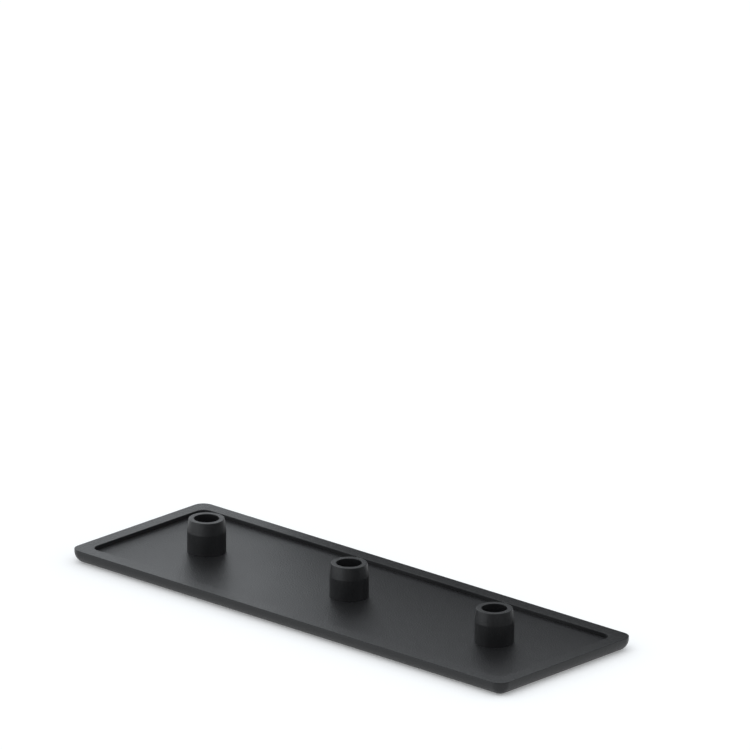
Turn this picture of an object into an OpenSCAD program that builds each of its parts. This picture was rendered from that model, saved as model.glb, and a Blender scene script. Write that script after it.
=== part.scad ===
// Push-in end cap with a recessed inner side and hollow pegs, moulded in one piece.
// It lies on its outer face: X along the length, Y across, Z up out of the pegs.
// The origin is under the middle of the plate, and all sizes are in millimetres.

/* [Plate] */
// Side of one square bay, which is the plate's width and the pitch of the pegs
bay = 40; // [30:1:60]
// Bays along the length, with a peg in the middle of each
bay_count = 3; // [1:1:4]
// Thickness from the outer face to the rim
plate_t = 3.0; // [2.8:0.1:5]
// Radius of the upright corners, seen from above
corner_r = 2.5; // [2.5:0.1:8]
// Radius that rolls the outer face into the sides
edge_r = 2.5; // [0.6:0.1:2.5]

/* [Recess] */
// Width of the flat rim that seats against the cut end
rim_w = 3.1; // [1.5:0.1:6]
// Depth of the recess inside the rim
recess_depth = 0.9; // [0.4:0.1:1.6]
// Radius of the recess corners, seen from above
recess_r = 2.0; // [0.4:0.1:6]

/* [Pegs] */
// Diameter of a peg where it grips
peg_d = 8.1; // [6:0.05:12]
// Height of a peg above the rim
peg_reach = 6.25; // [5:0.25:20]
// Height of the tapered nose
nose_h = 2.65; // [0.5:0.05:3.5]
// How far the nose draws in on each side
nose_in = 0.35; // [0.1:0.05:0.6]
// Wall of a peg around its blind hollow
peg_wall = 1.45; // [1:0.05:2]
// Plastic left under a hollow, down to the outer face
hollow_floor = 2.1; // [0.8:0.1:2.4]

/* [Edges] */
// Bevel on the rim's edges and on the nose
edge_break = 0.1; // [0.05:0.05:0.2]

/* [Hidden] */
$fn = 96;
// How far a peg is sunk into the plate, so that the two fuse
sink = 0.5;
// How far a cutter runs on past the face that it cuts
overcut = 1;
plate_l = bay * bay_count;
plate_w = bay;
recess_l = plate_l - 2 * rim_w;
recess_w = plate_w - 2 * rim_w;
recess_z = plate_t - recess_depth;
peg_r = peg_d / 2;
peg_top = plate_t + peg_reach;
nose_z = peg_top - nose_h;
nose_r = peg_r - nose_in;
hollow_r = peg_r - peg_wall;
peg_places = [for (i = [0 : bay_count - 1]) (i - (bay_count - 1) / 2) * bay];

// Sweeps the section given as a child round a rectangle with radiused corners.
// The section runs outwards from the corner's centre, and the middle is filled to height h.
module swept_pad(length, width, r, h) {
    run_x = length - 2 * r;
    run_y = width - 2 * r;
    translate([-run_x / 2, -run_y / 2, 0])
        cube([run_x, run_y, h]);
    for (turn = [0, 180])
        rotate([0, 0, turn]) {
            translate([-run_x / 2, run_y / 2, 0])
                rotate([90, 0, 90])
                    linear_extrude(run_x)
                        children();
            translate([run_x / 2, run_y / 2, 0])
                rotate([90, 0, 0])
                    linear_extrude(run_y)
                        children();
            translate([run_x / 2, run_y / 2, 0])
                rotate_extrude(angle = 90)
                    children();
            translate([-run_x / 2, run_y / 2, 0])
                rotate([0, 0, 90])
                    rotate_extrude(angle = 90)
                        children();
        }
}

// Section of the plate's side: a bevelled rim edge above, and the outer face rolled up below
module side_section() {
    difference() {
        polygon([
            [0, 0],
            [corner_r, 0],
            [corner_r, plate_t - edge_break],
            [corner_r - edge_break, plate_t],
            [0, plate_t]
        ]);
        difference() {
            translate([corner_r - edge_r, -overcut])
                square([edge_r + overcut, edge_r + overcut]);
            translate([corner_r - edge_r, edge_r])
                circle(r = edge_r);
        }
    }
}

// Section of the recess wall, opened out at the top by the edge bevel
module recess_section() {
    top = recess_depth + overcut;
    polygon([
        [0, 0],
        [recess_r, 0],
        [recess_r, recess_depth - edge_break],
        [recess_r + edge_break + overcut, top],
        [0, top]
    ]);
}

module plate() {
    difference() {
        swept_pad(plate_l, plate_w, corner_r, plate_t)
            side_section();
        translate([0, 0, recess_z])
            swept_pad(recess_l, recess_w, recess_r, recess_depth + overcut)
                recess_section();
    }
}

// Straight peg with a tapered nose, turned about its axis
module peg() {
    rotate_extrude()
        polygon([
            [0, recess_z - sink],
            [peg_r, recess_z - sink],
            [peg_r, nose_z],
            [nose_r, peg_top - edge_break],
            [nose_r - edge_break, peg_top],
            [0, peg_top]
        ]);
}

// Blind hollow in a peg, with a bevelled mouth
module hollow() {
    translate([0, 0, hollow_floor])
        cylinder(r = hollow_r, h = peg_top - hollow_floor + overcut);
    translate([0, 0, peg_top - edge_break])
        cylinder(r1 = hollow_r, r2 = hollow_r + edge_break + overcut, h = edge_break + overcut);
}

module end_cap() {
    color([0.16, 0.16, 0.165])
        difference() {
            union() {
                plate();
                for (x = peg_places)
                    translate([x, 0, 0])
                        peg();
            }
            for (x = peg_places)
                translate([x, 0, 0])
                    hollow();
        }
}

end_cap();
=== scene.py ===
import math

import bmesh
import bpy
from mathutils import Matrix, Vector


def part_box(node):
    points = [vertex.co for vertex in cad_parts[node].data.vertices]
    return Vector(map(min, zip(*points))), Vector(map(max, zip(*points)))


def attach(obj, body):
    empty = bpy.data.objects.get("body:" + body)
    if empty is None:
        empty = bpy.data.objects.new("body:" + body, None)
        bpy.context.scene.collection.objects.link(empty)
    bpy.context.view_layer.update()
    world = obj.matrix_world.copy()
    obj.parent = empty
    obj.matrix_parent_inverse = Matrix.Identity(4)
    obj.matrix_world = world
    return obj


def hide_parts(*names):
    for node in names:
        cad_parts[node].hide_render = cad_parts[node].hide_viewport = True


# Push-in end cap, one moulding in black polyamide, lying on its outer face with its pegs up.
# All lengths are in metres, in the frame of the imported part.

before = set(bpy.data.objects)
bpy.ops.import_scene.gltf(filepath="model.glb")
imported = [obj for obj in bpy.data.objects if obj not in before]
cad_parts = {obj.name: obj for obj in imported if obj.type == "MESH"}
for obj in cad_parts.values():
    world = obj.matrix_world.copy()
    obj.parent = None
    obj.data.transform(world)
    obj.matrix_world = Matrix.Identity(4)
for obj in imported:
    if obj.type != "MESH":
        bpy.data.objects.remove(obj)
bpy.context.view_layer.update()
scene = bpy.context.scene
mm = 0.001


def toLinear(hexColour):
    # sRGB hex to the linear values that the shaders take
    channels = [int(hexColour[i:i + 2], 16) / 255 for i in (1, 3, 5)]
    linear = [c / 12.92 if c <= 0.04045 else ((c + 0.055) / 1.055) ** 2.4 for c in channels]
    return (*linear, 1.0)


def addNode(tree, kind, settings, links):
    # settings in small letters are the node's own, the rest are its sockets
    node = tree.nodes.new("ShaderNode" + kind)
    for key, value in settings.items():
        if isinstance(key, str) and hasattr(node, key):
            setattr(node, key, value)
        else:
            node.inputs[key].default_value = value
    for key, source in links.items():
        tree.links.new(source, node.inputs[key])
    return node


def newMaterial(name):
    material = bpy.data.materials.new(name)
    material.use_nodes = True
    material.node_tree.nodes.clear()
    return material, material.node_tree


# The camera stands where the photo was taken from, with a long lens and the cap low in the frame

cameraPlace = {
    "azimuth": 42.684,
    "elevation": 18.686,
    "roll": -0.172,
    "distance": 2.7065,
    "asideFromCap": 0.00515,
    "aboveCap": 0.0470,
    "lens": 636.8,
    "sensorWidth": 36,
    "clipEnd": 20,
}


def addCamera(place):
    azimuth = math.radians(place["azimuth"])
    elevation = math.radians(place["elevation"])
    roll = math.radians(place["roll"])
    right = Vector((math.cos(azimuth), math.sin(azimuth), 0))
    back = Vector((
        math.sin(azimuth) * math.cos(elevation),
        -math.cos(azimuth) * math.cos(elevation),
        math.sin(elevation),
    ))
    up = back.cross(right)
    data = bpy.data.cameras.new("photoCamera")
    data.lens = place["lens"]
    data.sensor_width = place["sensorWidth"]
    data.clip_end = place["clipEnd"]
    camera = bpy.data.objects.new("photoCamera", data)
    scene.collection.objects.link(camera)
    turnedRight = right * math.cos(roll) - up * math.sin(roll)
    turnedUp = right * math.sin(roll) + up * math.cos(roll)
    axes = Matrix((turnedRight, turnedUp, back)).transposed()
    spot = back * place["distance"] + right * place["asideFromCap"] + up * place["aboveCap"]
    camera.matrix_world = Matrix.Translation(spot) @ axes.to_4x4()
    scene.camera = camera


addCamera(cameraPlace)
print("camera placed")


# The moulding

capSizes = {
    "bays": 3,
    "cornerRound": 2.5 * mm,
    "rimWidth": 3.1 * mm,
    "recessDepth": 0.9 * mm,
    "recessCorner": 2.0 * mm,
    "pegReach": 6.25 * mm,
    "pegRadius": 4.05 * mm,
    "noseHeight": 2.65 * mm,
    "noseDraw": 0.35 * mm,
    "hollowRadius": 2.6 * mm,
    "hollowFloor": 2.1 * mm,
    "edgeBreak": 0.1 * mm,
    "edgeBreakSteps": 3,
    "edgeBreakAngle": 60,
    "cornerSteps": 16,
    "turnSteps": 96,
    "weld": 0.001 * mm,
    "crispAngle": 35,
    "levelEnough": 0.9999,
    "flatFaceWeight": 100,
}


def addBlock(bm, low, high):
    verts = bmesh.ops.create_cube(bm, size=1)["verts"]
    bmesh.ops.scale(bm, vec=high - low, verts=verts)
    bmesh.ops.translate(bm, vec=(low + high) / 2, verts=verts)
    return verts


def edgesBetween(bm, verts):
    # in the mesh's own order, so that each run gives the same vertices
    return [e for e in bm.edges if e.verts[0] in verts and e.verts[1] in verts]


def roundEdges(bm, edges, radius, steps):
    bmesh.ops.bevel(
        bm, geom=edges, offset=radius, offset_type="OFFSET", segments=steps,
        profile=0.5, affect="EDGES", clamp_overlap=True, material=-1,
    )


def isLevel(edge, height, slack):
    return all(abs(vert.co.z - height) < slack for vert in edge.verts)


def openFace(bm, height, slack):
    # takes away the one face that lies level at this height
    faces = [f for f in bm.faces if all(abs(v.co.z - height) < slack for v in f.verts)]
    bmesh.ops.delete(bm, geom=faces, context="FACES_ONLY")


def fillLevel(bm, height, slack):
    # a flat face between the open outlines at this height, holes in it left open
    edges = [e for e in bm.edges if e.is_boundary and isLevel(e, height, slack)]
    bmesh.ops.triangle_fill(bm, use_beauty=True, edges=edges, normal=(0, 0, 1))


def addPlate(bm, low, high, sizes):
    # the block, rolled up at its sides and open on top
    weld = sizes["weld"]
    verts = addBlock(bm, low, high)
    edges = [e for e in edgesBetween(bm, verts) if not isLevel(e, high.z, weld)]
    roundEdges(bm, edges, sizes["cornerRound"], sizes["cornerSteps"])
    openFace(bm, high.z, weld)


def addRecess(bm, low, high, sizes):
    # a tray let into the plate, and the flat rim that joins the two
    weld = sizes["weld"]
    inset = Vector((sizes["rimWidth"], sizes["rimWidth"], 0))
    trayLow = low + inset
    trayLow.z = high.z - sizes["recessDepth"]
    verts = addBlock(bm, trayLow, high - inset)
    edges = edgesBetween(bm, verts)
    upright = [e for e in edges if abs(e.verts[0].co.z - e.verts[1].co.z) > weld]
    roundEdges(bm, upright, sizes["recessCorner"], sizes["cornerSteps"])
    openFace(bm, high.z, weld)
    fillLevel(bm, high.z, weld)
    openFace(bm, trayLow.z, weld)
    return trayLow.z


def addPeg(bm, x, base, top, sizes):
    # half section of a peg, spun round its axis, from the recess up and down into the hollow
    nose = sizes["pegRadius"] - sizes["noseDraw"]
    section = [
        (sizes["pegRadius"], base),
        (sizes["pegRadius"], top - sizes["noseHeight"]),
        (nose, top),
        (sizes["hollowRadius"], top),
        (sizes["hollowRadius"], sizes["hollowFloor"]),
        (0, sizes["hollowFloor"]),
    ]
    verts = [bm.verts.new((x + radius, 0, height)) for radius, height in section]
    edges = [bm.edges.new(pair) for pair in zip(verts, verts[1:])]
    bmesh.ops.spin(
        bm, geom=verts + edges, cent=(x, 0, 0), axis=(0, 0, 1), dvec=(0, 0, 0),
        angle=math.tau, steps=sizes["turnSteps"], use_merge=True, use_duplicate=False,
    )
    middle = Vector((x, 0, sizes["hollowFloor"]))
    pole = [v for v in bm.verts if (v.co - middle).length < sizes["weld"]]
    bmesh.ops.remove_doubles(bm, verts=pole, dist=sizes["weld"])


def breakEdges(bm, heights, sizes):
    # the small rounding that a polished mould leaves on the rim and on the pegs' mouths
    bm.normal_update()
    limit = math.radians(sizes["edgeBreakAngle"])
    sharp = [e for e in bm.edges if e.calc_face_angle(0) > limit]
    edges = [e for e in sharp if any(isLevel(e, h, sizes["weld"]) for h in heights)]
    roundEdges(bm, edges, sizes["edgeBreak"], sizes["edgeBreakSteps"])


def markCrisp(bm, noseStart, sizes):
    # level faces stay flat, and edges stay crisp where they turn sharply or the nose starts
    bm.normal_update()
    limit = math.radians(sizes["crispAngle"])
    for face in bm.faces:
        face.smooth = abs(face.normal.z) < sizes["levelEnough"]
    for edge in bm.edges:
        atNose = isLevel(edge, noseStart, sizes["weld"])
        edge.smooth = not atNose and edge.calc_face_angle(0) < limit


def makeCap(sizes):
    low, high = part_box("end_cap")
    top = high.z
    rimTop = top - sizes["pegReach"]
    pitch = (high.x - low.x) / sizes["bays"]
    plateHigh = Vector((high.x, high.y, rimTop))
    bm = bmesh.new()
    addPlate(bm, low, plateHigh, sizes)
    recessFloor = addRecess(bm, low, plateHigh, sizes)
    for bay in range(sizes["bays"]):
        addPeg(bm, low.x + (bay + 0.5) * pitch, recessFloor, top, sizes)
    fillLevel(bm, recessFloor, sizes["weld"])
    bmesh.ops.remove_doubles(bm, verts=bm.verts, dist=sizes["weld"])
    bmesh.ops.recalc_face_normals(bm, faces=bm.faces)
    breakEdges(bm, (rimTop, top), sizes)
    bmesh.ops.recalc_face_normals(bm, faces=bm.faces)
    markCrisp(bm, top - sizes["noseHeight"], sizes)
    mesh = bpy.data.meshes.new("mouldedCap")
    bm.to_mesh(mesh)
    openEdges = sum(1 for e in bm.edges if not e.is_manifold)
    bm.free()
    cap = bpy.data.objects.new("mouldedCap", mesh)
    scene.collection.objects.link(cap)
    flat = cap.modifiers.new("flatFaces", "WEIGHTED_NORMAL")
    flat.mode = "FACE_AREA"
    flat.weight = sizes["flatFaceWeight"]
    flat.keep_sharp = True
    print("cap modelled,", len(mesh.polygons), "faces,", openEdges, "open edges")
    return cap


cap = makeCap(capSizes)
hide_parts("end_cap")
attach(cap, "root")


# Polyamide, injection moulded against a spark-eroded steel: nearly black by itself, satin,
# pale only where it mirrors its surroundings at a low angle, and finely mottled by the grain
# that the steel leaves. The real grain is under 0.2 mm and too fine to show in the render,
# so it is drawn as coarse and as deep as it needs to show. The flow of the melt leaves broad
# patches that differ a little in colour and gloss

polyamide = {
    "colour": "#19191a",
    "colourInPatches": "#1c1c1d",
    "roughness": 0.34,
    "roughnessSpread": 0.02,
    "ior": 1.40,
    "grainWidth": 0.35 * mm,
    "grainDepth": 0.108 * mm,
    "grainDetail": 2,
    "grainRaggedness": 0.6,
    "grainOnWalls": 0.3,
    "wallNormal": 0.2,
    "levelNormal": 0.9,
    "flowWidth": 14 * mm,
    "flowDetail": 3,
    "flowRaggedness": 0.55,
    "flowLow": 0.3,
    "flowHigh": 0.7,
}


def makePolyamide(look):
    material, tree = newMaterial("mouldedBlackPolyamide")
    texture = addNode(tree, "TexCoord", {}, {})
    place = texture.outputs["Object"]
    flow = addNode(tree, "TexNoise", {
        "Scale": 1 / look["flowWidth"],
        "Detail": look["flowDetail"],
        "Roughness": look["flowRaggedness"],
    }, {"Vector": place}).outputs["Fac"]
    grain = addNode(tree, "TexNoise", {
        "Scale": 1 / look["grainWidth"],
        "Detail": look["grainDetail"],
        "Roughness": look["grainRaggedness"],
    }, {"Vector": place}).outputs["Fac"]
    # a Mix node's sockets go by number, because their names repeat
    colour = addNode(tree, "Mix", {
        "data_type": "RGBA",
        6: toLinear(look["colour"]),
        7: toLinear(look["colourInPatches"]),
    }, {0: flow}).outputs[2]
    roughness = addNode(tree, "MapRange", {
        "From Min": look["flowLow"],
        "From Max": look["flowHigh"],
        "To Min": look["roughness"] - look["roughnessSpread"],
        "To Max": look["roughness"] + look["roughnessSpread"],
    }, {"Value": flow}).outputs[0]
    # the grain is shallow on upright walls, which have to slide out of the mould
    upward = addNode(tree, "SeparateXYZ", {}, {0: texture.outputs["Normal"]}).outputs["Z"]
    strength = addNode(tree, "MapRange", {
        "From Min": look["wallNormal"],
        "From Max": look["levelNormal"],
        "To Min": look["grainOnWalls"],
        "To Max": 1.0,
    }, {"Value": upward}).outputs[0]
    bump = addNode(tree, "Bump", {
        "Distance": look["grainDepth"],
    }, {"Height": grain, "Strength": strength}).outputs[0]
    shader = addNode(tree, "BsdfPrincipled", {
        "IOR": look["ior"],
    }, {"Base Color": colour, "Roughness": roughness, "Normal": bump}).outputs[0]
    addNode(tree, "OutputMaterial", {}, {"Surface": shader})
    return material


cap.data.materials.append(makePolyamide(polyamide))
print("polyamide made")


# A pale studio: white floor and surroundings that give most of the light, and one wide soft
# lamp nearly overhead, a little to the camera's side and to the left. Three dark cards and two
# glowing ones stand near the cap and are seen only in its gloss, which keeps depth in the flat
# faces and gives the pegs a lit side

studio = {
    "floorSize": 8.0,
    "floorColour": "#ececec",
    "floorLift": 0.22,
    "worldLevel": 0.82,
    "worldColour": "#f6fbff",
    "lampLevel": 0.19,
    "lampHeight": 75,
    "lampAside": -25,
    "lampWidth": 60,
}


def whiteToTheEye(tree):
    # 1 for what the camera sees, in a mirror and through glass too, and 0 for what only lights
    path = addNode(tree, "LightPath", {}, {})
    mirrored = addNode(tree, "Math", {"operation": "MAXIMUM"}, {
        0: path.outputs["Is Camera Ray"],
        1: path.outputs["Is Glossy Ray"],
    }).outputs[0]
    return addNode(tree, "Math", {"operation": "MAXIMUM"}, {
        0: mirrored,
        1: path.outputs["Is Transmission Ray"],
    }).outputs[0]


def makeFloor(settings):
    bm = bmesh.new()
    bmesh.ops.create_grid(bm, x_segments=1, y_segments=1, size=settings["floorSize"] / 2)
    mesh = bpy.data.meshes.new("studioFloor")
    bm.to_mesh(mesh)
    bm.free()
    floor = bpy.data.objects.new("studioFloor", mesh)
    scene.collection.objects.link(floor)
    material, tree = newMaterial("paleBackdropPaper")
    paper = addNode(tree, "BsdfDiffuse", {"Color": toLinear(settings["floorColour"])}, {}).outputs[0]
    lift = addNode(tree, "Math", {"operation": "MULTIPLY", 1: settings["floorLift"]}, {
        0: whiteToTheEye(tree),
    }).outputs[0]
    glow = addNode(tree, "Emission", {}, {"Strength": lift}).outputs[0]
    both = addNode(tree, "AddShader", {}, {0: paper, 1: glow}).outputs[0]
    addNode(tree, "OutputMaterial", {}, {"Surface": both})
    mesh.materials.append(material)


def makeWorld(settings):
    world = bpy.data.worlds.new("paleSurroundings")
    world.use_nodes = True
    tree = world.node_tree
    tree.nodes.clear()
    level = addNode(tree, "Mix", {"data_type": "FLOAT", 2: settings["worldLevel"], 3: 1.0}, {
        0: whiteToTheEye(tree),
    }).outputs[0]
    glow = addNode(tree, "Background", {"Color": toLinear(settings["worldColour"])}, {
        "Strength": level,
    }).outputs[0]
    addNode(tree, "OutputWorld", {}, {"Surface": glow})
    scene.world = world


def addLamp(settings):
    height = math.radians(settings["lampHeight"])
    data = bpy.data.lights.new("wideSoftLamp", "SUN")
    data.angle = math.radians(settings["lampWidth"])
    # at level 1 a white sheet lying flat would look white under this lamp alone
    data.energy = settings["lampLevel"] * math.pi / math.sin(height)
    lamp = bpy.data.objects.new("wideSoftLamp", data)
    scene.collection.objects.link(lamp)
    turn = math.radians(cameraPlace["azimuth"] + settings["lampAside"])
    lamp.rotation_euler = (math.pi / 2 - height, 0, turn)
    lamp.visible_camera = False


# Each card stands on a straight foot line, given across the view and away from the camera
cards = [
    {
        "name": "darkCardBehind",
        "feet": ((-0.0196, 0.0807), (0.0800, -0.0137)),
        "heights": (0.0433, 0.0238),
        "slant": 0.0234,
        "colour": "#717171",
    },
    {
        "name": "darkCardRight",
        "feet": ((0.0800, -0.0137), (0.0800, -0.1440)),
        "heights": (0.0020, 0.0597),
        "slant": 0,
        "colour": "#0a0a0a",
    },
    {
        "name": "darkCardInFront",
        "feet": ((-0.0819, -0.1440), (0.0800, -0.1440)),
        "heights": (0.0491, 0.0548),
        "slant": 0,
        "colour": "#101010",
    },
    {
        "name": "paleCardLeft",
        "feet": ((-0.2095, -0.2114), (-0.2095, 0.1453)),
        "heights": (0.0810, 0.0810),
        "slant": 0,
        "colour": "#f6fbff",
        "glow": 2.24,
    },
    {
        "name": "paleCardBehind",
        "feet": ((-0.3496, 0.2000), (-0.0374, 0.2000)),
        "heights": (0.1593, 0.1593),
        "slant": 0,
        "colour": "#f6fbff",
        "glow": 1.19,
    },
]


def addCard(settings):
    azimuth = math.radians(cameraPlace["azimuth"])
    across = Vector((math.cos(azimuth), math.sin(azimuth), 0))
    away = Vector((-math.sin(azimuth), math.cos(azimuth), 0))
    feet = [across * u + away * d for u, d in settings["feet"]]
    tops = [foot + Vector((0, 0, height)) for foot, height in zip(feet, settings["heights"])]
    tops[0] += across * settings["slant"]
    bm = bmesh.new()
    bm.faces.new([bm.verts.new(spot) for spot in (*feet, *reversed(tops))])
    mesh = bpy.data.meshes.new(settings["name"])
    bm.to_mesh(mesh)
    bm.free()
    card = bpy.data.objects.new(settings["name"], mesh)
    scene.collection.objects.link(card)
    card.visible_camera = False
    card.visible_diffuse = False
    card.visible_shadow = False
    card.visible_transmission = False
    material, tree = newMaterial(settings["name"])
    colour = toLinear(settings["colour"])
    if "glow" in settings:
        sheet = addNode(tree, "Emission", {"Color": colour, "Strength": settings["glow"]}, {})
    else:
        sheet = addNode(tree, "BsdfDiffuse", {"Color": colour}, {})
    addNode(tree, "OutputMaterial", {}, {"Surface": sheet.outputs[0]})
    mesh.materials.append(material)


makeFloor(studio)
makeWorld(studio)
addLamp(studio)
for card in cards:
    addCard(card)
scene.view_settings.view_transform = "Standard"
print("studio lit")
